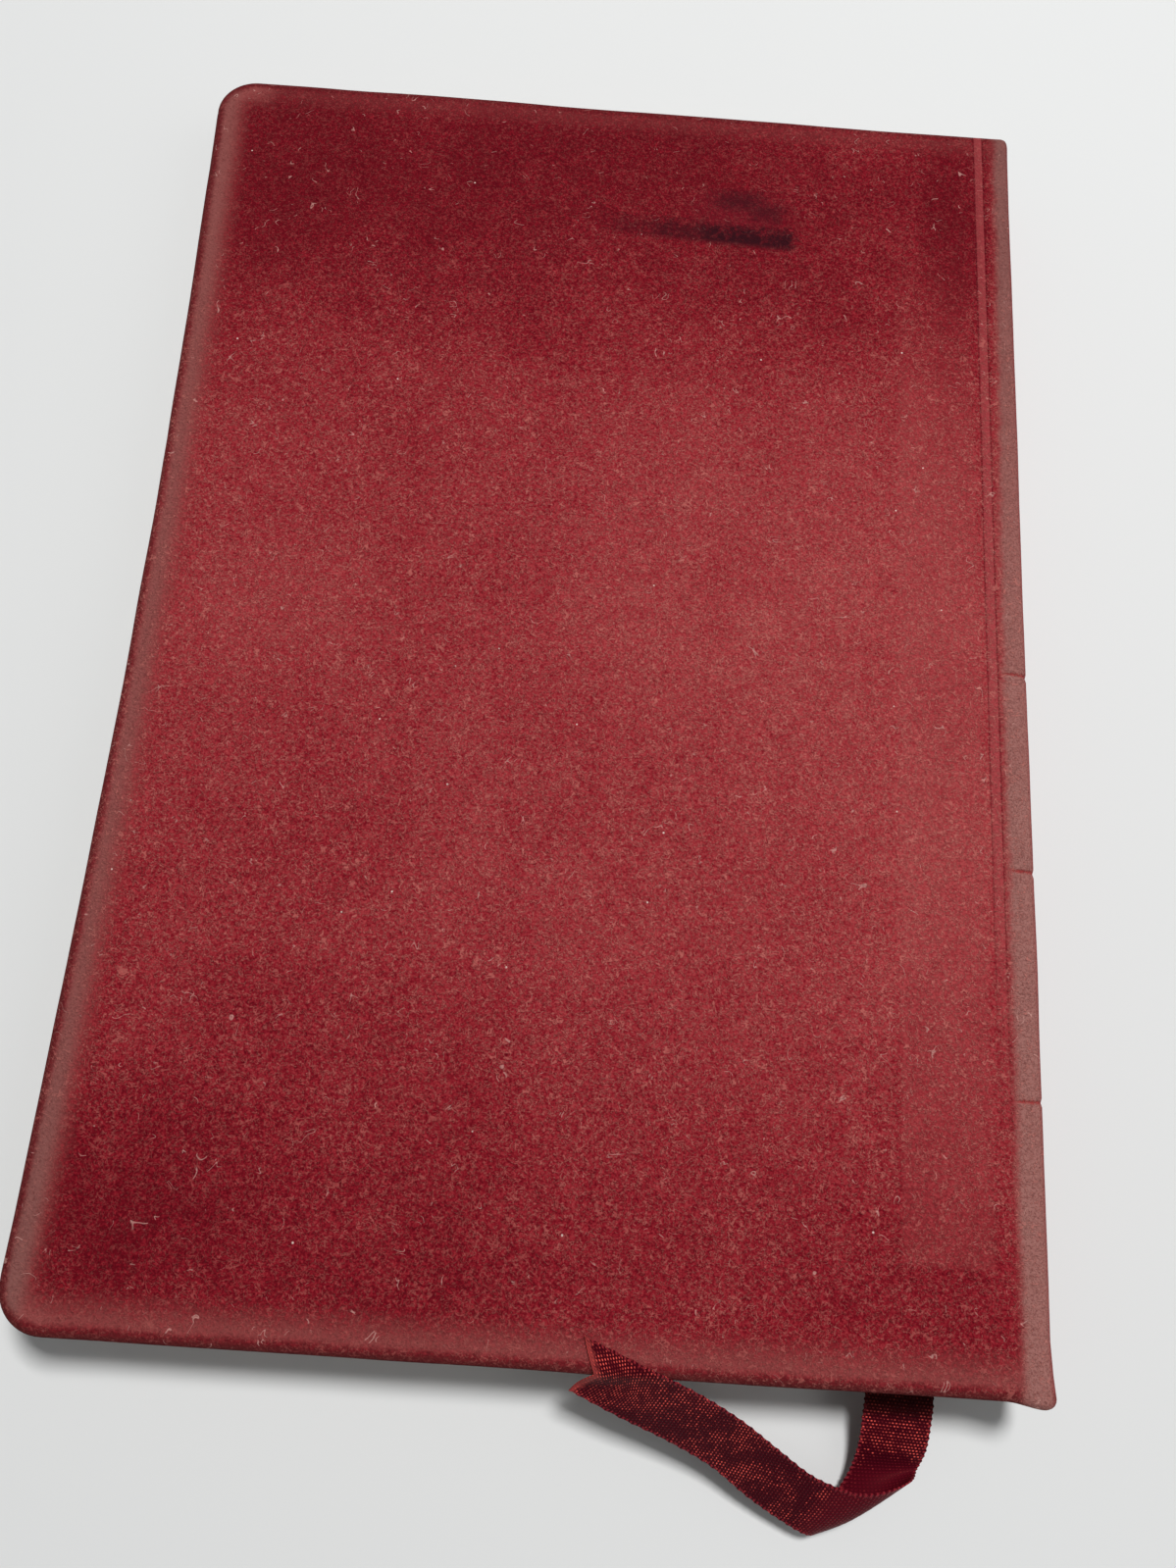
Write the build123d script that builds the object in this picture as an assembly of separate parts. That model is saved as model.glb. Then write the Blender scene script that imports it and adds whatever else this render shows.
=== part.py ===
from build123d import *
import os

# A slim velvet-covered album that lies closed on its front cover.
# Millimetres. X runs from the fore-edge to the spine, Y from tail to head, Z from front cover to back cover.
# The origin is the centre of the front cover's outer face.

# ---- driving dimensions -------------------------------------------------------------------------

ALBUM_WIDTH = 150.0          # fore-edge of the covers to the outside of the spine
ALBUM_HEIGHT = 218.0         # head to tail of the covers

# covers, layer by layer from the outside in
VELVET = 0.8                 # velvet on the outside and round the edges of a board
BOARD = 1.6                  # stiff card inside each cover
TURN_IN = 0.6                # velvet pressed flat where it is folded over onto the inside
TURN_IN_WIDTH = 14.0         # how far the folded velvet reaches in from the board's edge
PASTEDOWN = 0.2              # paper glued over the turn-ins
PASTEDOWN_MARGIN = 3.0       # velvet left showing round the pastedown
COVER_CORNER_RADIUS = 10.0   # fore-edge corners, seen from above
TURN_IN_CORNER_RADIUS = 1.0  # inside corners, where two folded strips of velvet meet
FORE_EDGE_BOW = 2.2          # how far the fore-edge is drawn in at mid-height
VELVET_EDGE_ROUND = 1.3      # rounding of the velvet over a board's outer edges
LINING_FLAP = 0.15           # cloth flap that ties the block to each board
FLAP_WIDTH = 15.0
FLAP_HEAD_GAP = 22.0         # flap's end to the head of the cover
FLAP_TAIL_GAP = 18.0         # flap's end to the tail of the cover

# hinge and spine
HINGE_GAP = 6.3              # cover's spine-side edge to the outside of the spine
BOARD_HINGE_GAP = 0.8        # how far a board stops short of its cover's spine-side edge
SPINE_VELVET = 0.8
SHOULDER_ROUND = 2.8         # rounding of the velvet over each shoulder of the spine
SHOULDER_CLEARANCE = 0.3     # cover's edge to the velvet ledge on the shoulder
SPINE_LINING = 0.5
SPINE_LINING_MARGIN = 5.0    # lining's end to the head or tail of the leaves
SHOULDER_LEDGE_GAP = 0.1     # between the folded shoulder and the velvet over it

# page block
SQUARE = 4.0                 # how far the covers stand out past the leaves
LEAF_CORNER_RADIUS = 8.0
SECTION = 1.1                # one folded gathering, pressed
SECTIONS_PER_HALF = 3
SHOULDER_WIDTH = 3.4         # folds bent over to make the shoulder of the spine
SHOULDER_TO_FLYLEAF = 0.7    # flyleaf's hinge edge to the folded shoulder
LEAF = 0.2                   # one loose-lying leaf of heavy album paper
LEAF_GAP = 0.15              # air between two leaves
LEAF_COUNT = 3               # leaves of the middle gathering that turn by themselves
LEAF_HINGE_GAP = 0.6         # middle leaves' hinge edge to the back of the sections
COVER_TO_FLYLEAF = 0.15
FLYLEAF_TO_SECTION = 0.15

# sewing and bands
THREAD = 0.3
SEWING_STATIONS = 5
SEWING_PITCH = 34.0
KETTLE_FROM_EDGE = 8.0       # kettle stitch to the head or tail of the leaves
BAND_DIAMETER = 1.5          # headband and tailband
BAND_LENGTH_GAP = 0.25       # end of a band to the middle plane of the spine

# ribbon marker
RIBBON_WIDTH = 10.0
RIBBON_THICKNESS = 0.25
RIBBON_TO_SECTION = 0.1
RIBBON_TO_LEAF = 0.2         # ribbon to the first of the middle leaves
RIBBON_HEAD_X = 66.0         # centre of the ribbon where it is glued at the head of the spine
RIBBON_EXIT_X = 54.5         # centre of the ribbon where it leaves the tail
RIBBON_TO_COVER = 0.4        # ribbon's loose end to the tail edge of the back cover
RIBBON_FALL = 17.0           # how far past the leaves the ribbon runs out before it reaches the table
RIBBON_FOLD_X = 43.0         # middle of the fold
RIBBON_FOLD_REACH = 21.5     # middle of the fold to the tail edge of the covers
RIBBON_END_X = 9.0           # tip of the cut end

# ---- places worked out from the dimensions -----------------------------------------------------

SPINE_X = ALBUM_WIDTH / 2
FORE_X = -ALBUM_WIDTH / 2
HALF_HEIGHT = ALBUM_HEIGHT / 2
COVER = VELVET + BOARD + TURN_IN + PASTEDOWN
COVER_HINGE_X = SPINE_X - HINGE_GAP
SHOULDER_X = COVER_HINGE_X + SHOULDER_CLEARANCE
LINING_OUT_X = SPINE_X - SPINE_VELVET
LINING_IN_X = LINING_OUT_X - SPINE_LINING
SECTION_BACK_X = LINING_IN_X - THREAD
RIDGE_X = SECTION_BACK_X - SHOULDER_WIDTH
LEAF_FORE_X = FORE_X + SQUARE
LEAF_HALF_HEIGHT = HALF_HEIGHT - SQUARE

FLYLEAF_Z = COVER + COVER_TO_FLYLEAF
SECTION_Z = FLYLEAF_Z + LEAF + FLYLEAF_TO_SECTION
SECTION_TOP_Z = SECTION_Z + SECTION * SECTIONS_PER_HALF
RIBBON_Z = SECTION_TOP_Z + RIBBON_TO_SECTION
MIDDLE_LEAVES = LEAF_COUNT * LEAF + (LEAF_COUNT - 1) * LEAF_GAP
MID_Z = RIBBON_Z + RIBBON_THICKNESS + RIBBON_TO_LEAF + MIDDLE_LEAVES / 2
ALBUM_THICKNESS = 2 * MID_Z


# ---- helpers ---------------------------------------------------------------------------------------

def turned_over(shape):
    """The same piece in the back half of the album: mirrored in the middle plane."""
    return mirror(shape, Plane.XY.offset(MID_Z))


def slab(x0, x1, y0, y1, z0, z1):
    """A plain box between two corners."""
    block = Box(x1 - x0, y1 - y0, z1 - z0, align=(Align.MIN, Align.MIN, Align.MIN))
    return Pos(x0, y0, z0) * block


def cover_outline(inset, hinge_x):
    """A cover seen from above: square at the hinge, two round corners and a drawn-in fore-edge."""
    fore = FORE_X + inset
    half = HALF_HEIGHT - inset
    with BuildSketch() as outline:
        with BuildLine():
            Line((fore, half), (hinge_x, half))
            Line((hinge_x, half), (hinge_x, -half))
            Line((hinge_x, -half), (fore, -half))
            ThreePointArc((fore, -half), (fore + FORE_EDGE_BOW, 0), (fore, half))
        make_face()
        corners = outline.vertices().sort_by(Axis.X)[:2]
        fillet(corners, max(COVER_CORNER_RADIUS - inset, TURN_IN_CORNER_RADIUS))
    return outline.sketch


def leaf_outline(hinge_x):
    """A leaf seen from above, with its two fore-edge corners rounded."""
    width = hinge_x - LEAF_FORE_X
    with BuildSketch() as outline:
        with Locations((LEAF_FORE_X + width / 2, 0)):
            Rectangle(width, 2 * LEAF_HALF_HEIGHT)
        corners = outline.vertices().sort_by(Axis.X)[:2]
        fillet(corners, LEAF_CORNER_RADIUS)
    return outline.sketch


def plate(outline, z0, thickness):
    return Pos(0, 0, z0) * extrude(outline, thickness)


# ---- one cover, modelled as the front cover -----------------------------------------------------

def cover_velvet():
    """Velvet over the outside of the board, round its three free edges and folded in."""
    wrap = plate(cover_outline(0, COVER_HINGE_X), 0, COVER - PASTEDOWN)
    outer_rim = wrap.faces().sort_by(Axis.Z)[0].edges()
    free_rim = outer_rim.filter_by(lambda e: e.center().X < COVER_HINGE_X - 1)
    wrap = fillet(free_rim, min(VELVET_EDGE_ROUND, 0.45 * (COVER - PASTEDOWN)))
    board_room = plate(cover_outline(VELVET, COVER_HINGE_X), VELVET, BOARD)
    inside = plate(cover_outline(VELVET + TURN_IN_WIDTH, COVER_HINGE_X), VELVET + BOARD, TURN_IN)
    return wrap - board_room - inside


def cover_board():
    return plate(cover_outline(VELVET, COVER_HINGE_X - BOARD_HINGE_GAP), VELVET, BOARD)


def cover_flap():
    """Cloth flap glued to the inside of the board along the hinge."""
    return slab(
        COVER_HINGE_X - FLAP_WIDTH,
        COVER_HINGE_X,
        -HALF_HEIGHT + FLAP_TAIL_GAP,
        HALF_HEIGHT - FLAP_HEAD_GAP,
        VELVET + BOARD,
        VELVET + BOARD + LINING_FLAP,
    )


def cover_infill():
    """Thin card that levels the inside of the cover between the turn-ins."""
    card = plate(cover_outline(VELVET + TURN_IN_WIDTH, COVER_HINGE_X), VELVET + BOARD, TURN_IN)
    return card - cover_flap()


def cover_pastedown():
    return plate(cover_outline(PASTEDOWN_MARGIN, COVER_HINGE_X), COVER - PASTEDOWN, PASTEDOWN)


def flyleaf():
    return plate(leaf_outline(RIDGE_X - SHOULDER_TO_FLYLEAF), FLYLEAF_Z, LEAF)


# ---- the lower half of the page block and spine -----------------------------------------------

def section(number):
    """One gathering. The outer one has its folds bent over, which makes the shoulder."""
    bottom = SECTION_Z + (number - 1) * SECTION
    body = plate(leaf_outline(SECTION_BACK_X), bottom, SECTION)
    if number == 1:
        ledge = SPINE_VELVET + SHOULDER_LEDGE_GAP
        shoulder = slab(RIDGE_X, SECTION_BACK_X, -LEAF_HALF_HEIGHT, LEAF_HALF_HEIGHT, ledge, bottom)
        outer_corner = shoulder.edges().filter_by(Axis.Y).sort_by(Axis.Z)[:2].sort_by(Axis.X)[-1]
        shoulder = fillet(outer_corner, SHOULDER_ROUND / 2)
        body = body + shoulder
    return body


def spine_lining():
    reach = LEAF_HALF_HEIGHT - SPINE_LINING_MARGIN
    low = SPINE_VELVET + SHOULDER_ROUND
    return slab(LINING_IN_X, LINING_OUT_X, -reach, reach, low, MID_Z - BAND_LENGTH_GAP)


def spine_velvet():
    """Half of the velvet over the spine: a wall, and a ledge over the shoulder."""
    top = MID_Z - BAND_LENGTH_GAP / 2
    wall = slab(SHOULDER_X, SPINE_X, -HALF_HEIGHT, HALF_HEIGHT, 0, top)
    outer_corner = wall.edges().filter_by(Axis.Y).group_by(Axis.Z)[0].sort_by(Axis.X)[-1]
    wall = fillet(outer_corner, SHOULDER_ROUND)
    room = slab(SHOULDER_X, LINING_OUT_X, -HALF_HEIGHT, HALF_HEIGHT, SPINE_VELVET, top)
    inner_corner = room.edges().filter_by(Axis.Y).group_by(Axis.Z)[0].sort_by(Axis.X)[-1]
    room = fillet(inner_corner, SHOULDER_ROUND - SPINE_VELVET)
    return wall - room


def end_band(side):
    """Half of the rolled band at the head (side 1) or the tail (side -1) of the spine."""
    length = MID_Z - BAND_LENGTH_GAP - FLYLEAF_Z
    radius = BAND_DIAMETER / 2
    roll = Cylinder(radius, length, align=(Align.CENTER, Align.CENTER, Align.MIN))
    return Pos(LINING_IN_X - radius, side * (LEAF_HALF_HEIGHT + radius), FLYLEAF_Z) * roll


def sewing_thread():
    """Stitches along the back of the half block, one group for each sewing station."""
    middle = (SEWING_STATIONS - 1) / 2
    stations = [SEWING_PITCH * (i - middle) for i in range(SEWING_STATIONS)]
    kettle = LEAF_HALF_HEIGHT - KETTLE_FROM_EDGE
    radius = THREAD / 2
    length = SECTION * SECTIONS_PER_HALF
    stitch = Cylinder(radius, length, align=(Align.CENTER, Align.CENTER, Align.MIN))
    places = [-kettle] + stations + [kettle]
    return Compound(children=[Pos(SECTION_BACK_X + radius, y, SECTION_Z) * stitch for y in places])


# ---- leaves of the middle gathering ---------------------------------------------------------

def middle_leaf(number):
    pitch = LEAF + LEAF_GAP
    middle = (LEAF_COUNT + 1) / 2
    bottom = MID_Z + (number - middle) * pitch - LEAF / 2
    return plate(leaf_outline(SECTION_BACK_X - LEAF_HINGE_GAP), bottom, LEAF)


# ---- ribbon marker -------------------------------------------------------------------------------

def ribbon_marker():
    """Ribbon inside the album, from the head of the spine to the tail edge of the leaves."""
    side = RIBBON_WIDTH / 2
    outline = Polyline(
        (RIBBON_HEAD_X - side, LEAF_HALF_HEIGHT),
        (RIBBON_HEAD_X + side, LEAF_HALF_HEIGHT),
        (RIBBON_EXIT_X + side, -LEAF_HALF_HEIGHT),
        (RIBBON_EXIT_X - side, -LEAF_HALF_HEIGHT),
        close=True,
    )
    return plate(make_face(outline), RIBBON_Z, RIBBON_THICKNESS)


def ribbon_leg(start, end, rise_at_start, rise_at_end):
    """A ribbon leg with a straight slope: its side profile is drawn upright and given its width."""
    run = Vector(end[0] - start[0], end[1] - start[1], 0)
    upright = Plane(origin=(start[0], start[1], 0), x_dir=run, z_dir=run.cross(Vector(0, 0, 1)))
    low = (0, rise_at_start)
    high = (run.length, rise_at_end)
    profile = Polyline(
        low,
        high,
        (high[0], high[1] + RIBBON_THICKNESS),
        (low[0], low[1] + RIBBON_THICKNESS),
        close=True,
    )
    return upright * extrude(make_face(profile), RIBBON_WIDTH / 2, both=True)


def ribbon_tail():
    """Loose end of the ribbon: it falls to the table, folds, and comes back up to the back cover."""
    exit_point = (RIBBON_EXIT_X, -LEAF_HALF_HEIGHT)
    touch_down = (RIBBON_EXIT_X, -LEAF_HALF_HEIGHT - RIBBON_FALL)
    fold = (RIBBON_FOLD_X, -HALF_HEIGHT - RIBBON_FOLD_REACH + RIBBON_WIDTH / 2)
    back = (RIBBON_END_X, -HALF_HEIGHT - RIBBON_TO_COVER - RIBBON_WIDTH / 2)
    falling = ribbon_leg(exit_point, touch_down, RIBBON_Z, 0)
    rising = ribbon_leg(fold, back, 0, ALBUM_THICKNESS - RIBBON_THICKNESS)
    crossing = ribbon_leg((touch_down[0] + RIBBON_WIDTH / 2, touch_down[1]), fold, 0, 0)
    return falling + crossing + rising


# ---- every piece, by name ------------------------------------------------------------------------

def all_pieces():
    pieces = {}
    halves = (("front", "lower", lambda s: s), ("back", "upper", turned_over))
    for cover, half, place in halves:
        pieces[f"{cover}_board"] = place(cover_board())
        pieces[f"{cover}_velvet"] = place(cover_velvet())
        pieces[f"{cover}_lining_flap"] = place(cover_flap())
        pieces[f"{cover}_infill"] = place(cover_infill())
        pieces[f"{cover}_pastedown"] = place(cover_pastedown())
        pieces[f"{cover}_flyleaf"] = place(flyleaf())
        pieces[f"spine_lining_{half}"] = place(spine_lining())
        pieces[f"spine_velvet_{half}"] = place(spine_velvet())
        pieces[f"headband_{half}"] = place(end_band(1))
        pieces[f"tailband_{half}"] = place(end_band(-1))
        pieces[f"sewing_thread_{half}"] = place(sewing_thread())
        for i in range(1, SECTIONS_PER_HALF + 1):
            number = i if half == "lower" else 2 * SECTIONS_PER_HALF + 1 - i
            pieces[f"section_{number}"] = place(section(i))
    for i in range(1, LEAF_COUNT + 1):
        pieces[f"middle_leaf_{i}"] = middle_leaf(i)
    pieces["ribbon_marker"] = ribbon_marker()
    pieces["ribbon_tail"] = ribbon_tail()
    return pieces


os.makedirs("parts", exist_ok=True)
for node, shape in all_pieces().items():
    export_step(shape, f"parts/{node}.step")
    print(node, "volume", round(shape.volume, 2))
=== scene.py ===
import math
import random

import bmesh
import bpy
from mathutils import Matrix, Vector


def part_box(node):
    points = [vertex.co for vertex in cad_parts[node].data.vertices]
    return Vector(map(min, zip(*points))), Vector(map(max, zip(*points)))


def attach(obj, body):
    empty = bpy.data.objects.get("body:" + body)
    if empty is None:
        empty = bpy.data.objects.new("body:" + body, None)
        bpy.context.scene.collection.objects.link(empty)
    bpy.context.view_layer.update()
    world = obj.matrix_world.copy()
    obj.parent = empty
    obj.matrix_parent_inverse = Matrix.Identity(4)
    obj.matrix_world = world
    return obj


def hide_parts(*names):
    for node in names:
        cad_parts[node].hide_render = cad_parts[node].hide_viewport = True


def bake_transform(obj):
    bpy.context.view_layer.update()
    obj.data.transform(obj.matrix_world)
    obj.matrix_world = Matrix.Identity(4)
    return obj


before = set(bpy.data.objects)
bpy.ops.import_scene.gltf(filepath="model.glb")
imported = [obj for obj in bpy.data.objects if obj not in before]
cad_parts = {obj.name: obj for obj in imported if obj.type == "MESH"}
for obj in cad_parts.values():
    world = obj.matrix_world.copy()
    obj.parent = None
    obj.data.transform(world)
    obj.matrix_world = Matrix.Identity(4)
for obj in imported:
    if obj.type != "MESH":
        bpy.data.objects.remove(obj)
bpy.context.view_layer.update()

# %% [markdown]
# # A velvet album with a ribbon marker
#
# A slim album lies closed on its front cover. Its covers and spine are wrapped in one skin of crimson
# velvet, its leaves are sewn in gatherings, and a satin ribbon marker comes out of the tail and curls back
# over the edge. This lesson builds what you see of it in Blender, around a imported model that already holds
# the real sizes.

bpy.context.scene.view_settings.view_transform = "Standard"
MM = 0.001
SPINE_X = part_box("spine_velvet_upper")[1].x
FORE_X = -SPINE_X
COVER_LOW, COVER_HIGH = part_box("back_velvet")
HINGE_X = COVER_HIGH.x
HALF = COVER_HIGH.y
TOP = COVER_HIGH.z
MID_Z = TOP / 2
random.seed(7)
print("cover", round(2 * SPINE_X / MM), "by", round(2 * HALF / MM), "by", round(TOP / MM), "mm")

# %% [markdown]
# ## Small helpers for edit mode
#
# Modelling with operators means: select by place, then run the tool. An operator acts on everything selected,
# and a fresh import leaves its objects selected, so each piece begins with nothing selected.


# %% Selecting and editing
def select_only(obj):
    if bpy.context.object and bpy.context.object.mode != "OBJECT":
        bpy.ops.object.mode_set(mode="OBJECT")
    bpy.ops.object.select_all(action="DESELECT")
    obj.select_set(True)
    bpy.context.view_layer.objects.active = obj


def edit(obj):
    select_only(obj)
    bpy.ops.object.mode_set(mode="EDIT")


def done():
    bpy.ops.object.mode_set(mode="OBJECT")


def pick(test, kind="VERT"):
    """In edit mode, select the vertices, edges or faces that pass the test, and nothing else."""
    obj = bpy.context.object
    bpy.ops.mesh.select_mode(type=kind)
    bpy.ops.mesh.select_all(action="DESELECT")
    mesh = bmesh.from_edit_mesh(obj.data)
    items = {"VERT": mesh.verts, "EDGE": mesh.edges, "FACE": mesh.faces}[kind]
    for item in items:
        if test(item):
            item.select_set(True)
    bmesh.update_edit_mesh(obj.data)


def shift(x=0.0, y=0.0, z=0.0, soft=0.0):
    """Move what is selected; with soft above zero, what lies within that distance follows a little."""
    bpy.ops.transform.translate(
        value=(x, y, z),
        use_proportional_edit=soft > 0,
        proportional_edit_falloff="SMOOTH",
        proportional_size=max(soft, MM),
    )


def pull(x=0.0, z=0.0):
    """Extrude the selected edges and move the new ones."""
    bpy.ops.mesh.extrude_edges_move(TRANSFORM_OT_translate={"value": (x, 0.0, z)})


def cut(place, axis):
    """Cut the whole mesh along a plane across one axis."""
    at = [0.0, 0.0, 0.0]
    normal = [0.0, 0.0, 0.0]
    at[axis] = place
    normal[axis] = 1.0
    bpy.ops.mesh.select_all(action="SELECT")
    bpy.ops.mesh.bisect(plane_co=at, plane_no=normal)


# metres of slack where rows of points lie close together
TIGHT = 2e-6


def near(value, target, slack=0.01 * MM):
    return abs(value - target) < slack


def modify(obj, kind, **settings):
    """Add a modifier with these settings and apply it."""
    select_only(obj)
    modifier = obj.modifiers.new(kind.title(), kind)
    for setting, value in settings.items():
        setattr(modifier, setting, value)
    bpy.ops.object.modifier_apply(modifier=modifier.name)


def smooth(obj, degrees):
    select_only(obj)
    bpy.ops.object.shade_smooth_by_angle(angle=math.radians(degrees))


def block(name, low, high):
    """A cube primitive, brought to its size and place inside its mesh."""
    bpy.ops.object.select_all(action="DESELECT")
    bpy.ops.mesh.primitive_cube_add(size=1)
    obj = bpy.context.object
    obj.name = name
    edit(obj)
    bpy.ops.mesh.select_all(action="SELECT")
    size = high - low
    centre = (low + high) / 2
    bpy.ops.transform.resize(value=size)
    bpy.ops.transform.translate(value=centre)
    return obj


def square(name):
    """A plane primitive, one metre wide, in edit mode with everything selected."""
    bpy.ops.object.select_all(action="DESELECT")
    bpy.ops.mesh.primitive_plane_add(size=1)
    obj = bpy.context.object
    obj.name = name
    edit(obj)
    bpy.ops.mesh.select_all(action="SELECT")
    return obj


def copy_of(obj, name):
    twin = obj.copy()
    twin.data = obj.data.copy()
    twin.name = name
    bpy.context.scene.collection.objects.link(twin)
    return twin


def joined(objects, name):
    select_only(objects[0])
    for other in objects[1:]:
        other.select_set(True)
    bpy.ops.object.join()
    objects[0].name = name
    return objects[0]


# %% [markdown]
# ## Shader maths as plain expressions
#
# A procedural finish is arithmetic on positions. Wiring Math nodes by hand soon hides the idea, so one small
# class wraps a socket and overloads the operators. An expression such as `1 - mask * 0.5` then adds its own
# nodes.


# %% One class for values, one for a material
class Value:
    """A number that varies over a surface."""

    def __init__(self, recipe, socket):
        self.recipe = recipe
        self.socket = socket

    def _with(self, operation, first, second):
        return self.recipe.maths(operation, first, second)

    def __add__(self, other):
        return self._with("ADD", self, other)

    def __sub__(self, other):
        return self._with("SUBTRACT", self, other)

    def __mul__(self, other):
        return self._with("MULTIPLY", self, other)

    def __truediv__(self, other):
        return self._with("DIVIDE", self, other)

    def __radd__(self, other):
        return self._with("ADD", other, self)

    def __rsub__(self, other):
        return self._with("SUBTRACT", other, self)

    def __rmul__(self, other):
        return self._with("MULTIPLY", other, self)

    def __abs__(self):
        return self._with("ABSOLUTE", self, 0.0)


class Recipe:
    """A material under construction. It starts with a position in millimetres on the object."""

    def __init__(self, name, **constants):
        self.material = bpy.data.materials.new(name)
        self.material.use_nodes = True
        self.nodes = self.material.node_tree.nodes
        self.links = self.material.node_tree.links
        self.shader = self.nodes["Principled BSDF"]
        for socket, value in constants.items():
            self.shader.inputs[socket.replace("_", " ")].default_value = value
        place = self.node("ShaderNodeTexCoord").outputs["Object"]
        scaled = self.node("ShaderNodeVectorMath", {"operation": "SCALE"}, Vector=place, Scale=1 / MM)
        self.place = scaled.outputs["Vector"]
        self.x, self.y, self.z = self.parts(self.place)

    def node(self, kind, settings=None, **inputs):
        made = self.nodes.new(kind)
        for setting, value in (settings or {}).items():
            setattr(made, setting, value)
        for socket, value in inputs.items():
            self.feed(made.inputs[socket.replace("_", " ")], value)
        return made

    def feed(self, socket, value):
        if isinstance(value, Value):
            value = value.socket
        if isinstance(value, bpy.types.NodeSocket):
            self.links.new(value, socket)
        elif hasattr(value, "__len__") and len(socket.default_value) == 4:
            socket.default_value = (*value, 1.0)
        else:
            socket.default_value = value

    def maths(self, operation, first, second=0.0):
        made = self.node("ShaderNodeMath", {"operation": operation})
        self.feed(made.inputs[0], first)
        self.feed(made.inputs[1], second)
        return Value(self, made.outputs[0])

    def parts(self, vector):
        split = self.node("ShaderNodeSeparateXYZ", Vector=vector)
        return [Value(self, split.outputs[axis]) for axis in ("X", "Y", "Z")]

    def step(self, value, low, high):
        """0 below low, 1 above high, with a smooth slope between; low may be the larger one."""
        made = self.node(
            "ShaderNodeMapRange",
            {"interpolation_type": "SMOOTHSTEP"},
            Value=value,
            From_Min=min(low, high),
            From_Max=max(low, high),
            To_Min=0.0 if low < high else 1.0,
            To_Max=1.0 if low < high else 0.0,
        )
        return Value(self, made.outputs["Result"])

    def bump_of(self, value, centre, width):
        """A smooth hump, 1 at the centre and 0 a width away."""
        return self.step(abs(value - centre), width, 0.0)

    def noise(self, per_mm, detail, rough, warp, stretch=(1, 1, 1), seed=0.0):
        """Cloudy noise from 0 to 1; per_mm sets its grain and seed moves it to another place."""
        vector = self.node("ShaderNodeMapping", Vector=self.place, Scale=stretch, Location=(seed, seed, seed))
        made = self.node(
            "ShaderNodeTexNoise",
            {"noise_type": "FBM", "normalize": True},
            Vector=vector.outputs["Vector"],
            Scale=per_mm,
            Detail=detail,
            Roughness=rough,
            Distortion=warp,
        )
        return Value(self, made.outputs["Fac"])

    def grains(self, per_mm):
        """Distance to the nearest of many scattered points."""
        made = self.node("ShaderNodeTexVoronoi", {"feature": "F1"}, Vector=self.place, Scale=per_mm)
        return Value(self, made.outputs["Distance"])

    def blend(self, first, second, amount):
        """Colour mix: first where amount is 0, second where it is 1."""
        made = self.node("ShaderNodeMix", {"data_type": "RGBA", "clamp_factor": True})
        self.feed(made.inputs["Factor"], amount)
        colours = [s for s in made.inputs if s.type == "RGBA"]
        self.feed(colours[0], first)
        self.feed(colours[1], second)
        return next(s for s in made.outputs if s.type == "RGBA")

    def colour(self, value):
        self.feed(self.shader.inputs["Base Color"], value)

    def rough(self, value):
        self.feed(self.shader.inputs["Roughness"], value)

    def raise_by(self, height, distance_mm, strength):
        bump = self.node("ShaderNodeBump", Height=height, Distance=distance_mm * MM, Strength=strength)
        self.feed(self.shader.inputs["Normal"], bump.outputs["Normal"])


# %% [markdown]
# ## The velvet
#
# Velvet is cut pile. Where the pile stands up it swallows light and looks deep red; where a hand or a table
# has rubbed it flat it turns paler and greyer. So the colour follows the distance to the nearest edge, broken
# up by cloudy patches of brushed nap and by thousands of short curly fibres. Sheen and shade are painted into
# the colour as well: a painted sheen palest below mid-height, painted sheen in the worn bands along the
# rounded edges and over the shoulder, and painted shade on the very rim and in the pressed lines. Everything
# reads the position on the cover, because the wear and the painted sheen belong to the cover and its edges.
# Distances in these recipes are millimetres, and an amount from 0 to 1 says how much of a colour is laid over
# what is there already.

# %% Sizes of the velvet skin
CORNER_ROUND = 7.5 * MM
RIM_ROUND = 1.4 * MM
INNER_RIM_ROUND = 0.7 * MM
TURN_IN_REACH = 14.8 * MM
FORE_EDGE_BOW = 2.2 * MM
SHOULDER_ROUND = 2.8 * MM
PILE_CLOTH = 0.75 * MM
GRID = 4 * MM
NOTCHES = (0.0, -33 * MM, -68 * MM)
# the two lines pressed in beside the spine, in millimetres from its outside
PRESSED_LINES = (7.25, 5.55)


# %% Velvet colours
DEEP = (0.124, 0.0030, 0.0085)
CRIMSON = (0.230, 0.0100, 0.0180)
ROSE = (0.352, 0.0430, 0.0480)
FIBRE = (0.500, 0.152, 0.128)
UNDER_PILE = (0.075, 0.0025, 0.0060)
# rubbed nap with painted sheen, for the pale bands along the rounded edges
RUBBED_AND_SHEEN = (0.265, 0.0640, 0.0600)
# rubbed nap with painted sheen over the shoulder
GREYED_AND_SHEEN = (0.315, 0.1350, 0.1180)
# painted shade on the rounded rim of the cover
RIM_SHADE = (0.100, 0.0150, 0.0160)
SOIL = (0.030, 0.0050, 0.0085)
LINT = (0.80, 0.62, 0.55)
STRAY_HAIR = (0.62, 0.33, 0.29)
# greyish band by the fore-edge: rubbed nap with painted sheen
FORE_EDGE_GREY = (0.205, 0.090, 0.079)
# the shoulder's brown: rubbed nap with painted sheen, darker towards the head
SHOULDER_BROWN = (0.150, 0.0620, 0.0560)
CREASE = (0.31, 0.022, 0.024)
PRESSED_STRIP = (0.34, 0.056, 0.060)
# the pressed grooves' dark colour is painted shade
PRESSED_LINE = (0.090, 0.004, 0.009)
FLAP = (0.36, 0.066, 0.066)
HAZE = (0.120, 0.0080, 0.0150)
# painted sheen with the nap: palest a little below mid-height, with painted shade deepening it towards head
# and tail
PALEST_Y, NAP_REACH = -8.0, 105.0
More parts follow.
